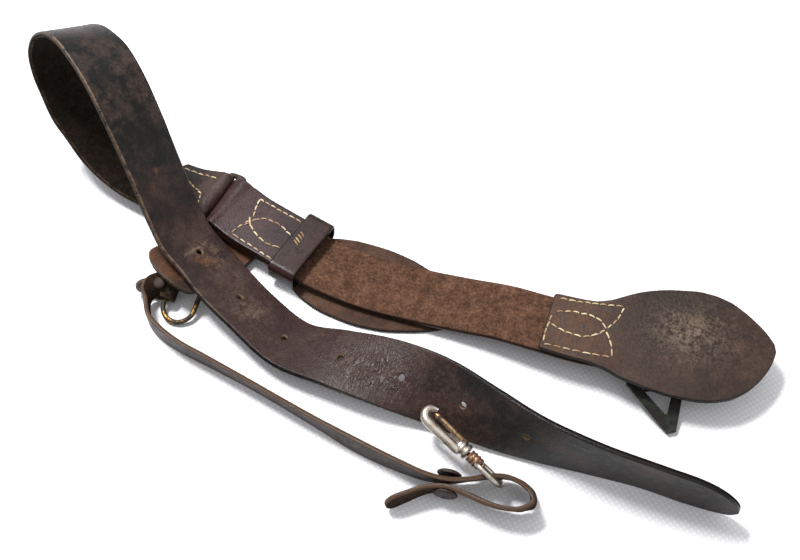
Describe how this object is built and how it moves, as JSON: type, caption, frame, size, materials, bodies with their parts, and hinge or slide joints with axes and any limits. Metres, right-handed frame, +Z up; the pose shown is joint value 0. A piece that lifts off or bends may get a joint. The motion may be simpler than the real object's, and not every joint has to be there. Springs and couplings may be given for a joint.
{
  "type": "leather carrying sling",
  "caption": "Old harness-leather shoulder sling with punched strap, sewn ring joint, teardrop end with iron loop, and narrow strap with swivel snap hook.",
  "frame": {"origin": "bottom centre of the whole sling as it lies, on the surface it rests on", "axes": "+X along the sling from the big loop to the strap's tip, +Z up from the surface, +Y away from the narrow strap"},
  "size_m": [0.5781, 0.2573, 0.1332],
  "materials": {
    "strap_leather": "oiled and worn grain",
    "rough_leather": "flesh side",
    "tan_leather": "dry, rubbed",
    "linen_thread": "waxed",
    "black_iron": "forged, blackened",
    "aged_brass": "aged",
    "worn_nickel": "worn nickel plate",
    "rusty_steel": "rusted"
  },
  "bodies": {
    "straps": {"shoulder_strap": "strap_leather", "short_strap": "rough_leather", "teardrop_end": "strap_leather", "tab": "tan_leather", "safe": "rough_leather", "joint_ring": "rusty_steel", "iron_loop_chape": "strap_leather", "brass_ring_chape": "tan_leather", "narrow_strap": "strap_leather", "hook_stud": "aged_brass", "hook_stud_washer": "aged_brass", "ring_stud": "aged_brass", "ring_stud_washer": "aged_brass", "shoulder_strap_thread": "linen_thread", "short_strap_thread": "linen_thread", "teardrop_thread": "linen_thread"},
    "keeper": {"keeper": "strap_leather"},
    "iron_loop": {"iron_loop": "black_iron"},
    "brass_ring": {"brass_ring": "aged_brass"},
    "hook_eye": {"hook_eye": "worn_nickel"},
    "hook_body": {"hook_body": "worn_nickel", "gate_pin": "rusty_steel", "gate_spring": "rusty_steel"},
    "gate": {"gate": "aged_brass"}
  },
  "joints": [
    {"name": "keeper_slide", "type": "slide", "parent": "straps", "child": "keeper", "axis": [0.9754, -0.1951, -0.1022], "range_m": [0, 0.012]},
    {"name": "iron_loop_swing", "type": "hinge", "parent": "straps", "child": "iron_loop", "pos_m": [0.2155, 0.0165, 0.0143], "axis": [-0.8587, -0.5125, 0], "range_deg": [0, 16]},
    {"name": "brass_ring_swing", "type": "hinge", "parent": "straps", "child": "brass_ring", "pos_m": [-0.124, -0.0105, 0.0136], "axis": [-1, 0, 0], "range_deg": [0, 6]},
    {"name": "hook_eye_turn", "type": "hinge", "parent": "straps", "child": "hook_eye", "pos_m": [0.129, -0.0883, 0.0138], "axis": [-0.0498, -0.4766, 0.8777], "range_deg": [-6, 4]},
    {"name": "hook_swivel", "type": "hinge", "parent": "hook_eye", "child": "hook_body", "pos_m": [0.1068, -0.0785, 0.018], "axis": [-0.8954, 0.4106, 0.1722], "continuous": true},
    {"name": "gate_swing", "type": "hinge", "parent": "hook_body", "child": "gate", "pos_m": [0.10542, -0.07347, 0.01859], "axis": [0.1565, -0.0718, 0.9851], "range_deg": [0, 6], "stiffness_Nm_per_rad": 0.01, "deforming": ["gate_spring"]}
  ]
}
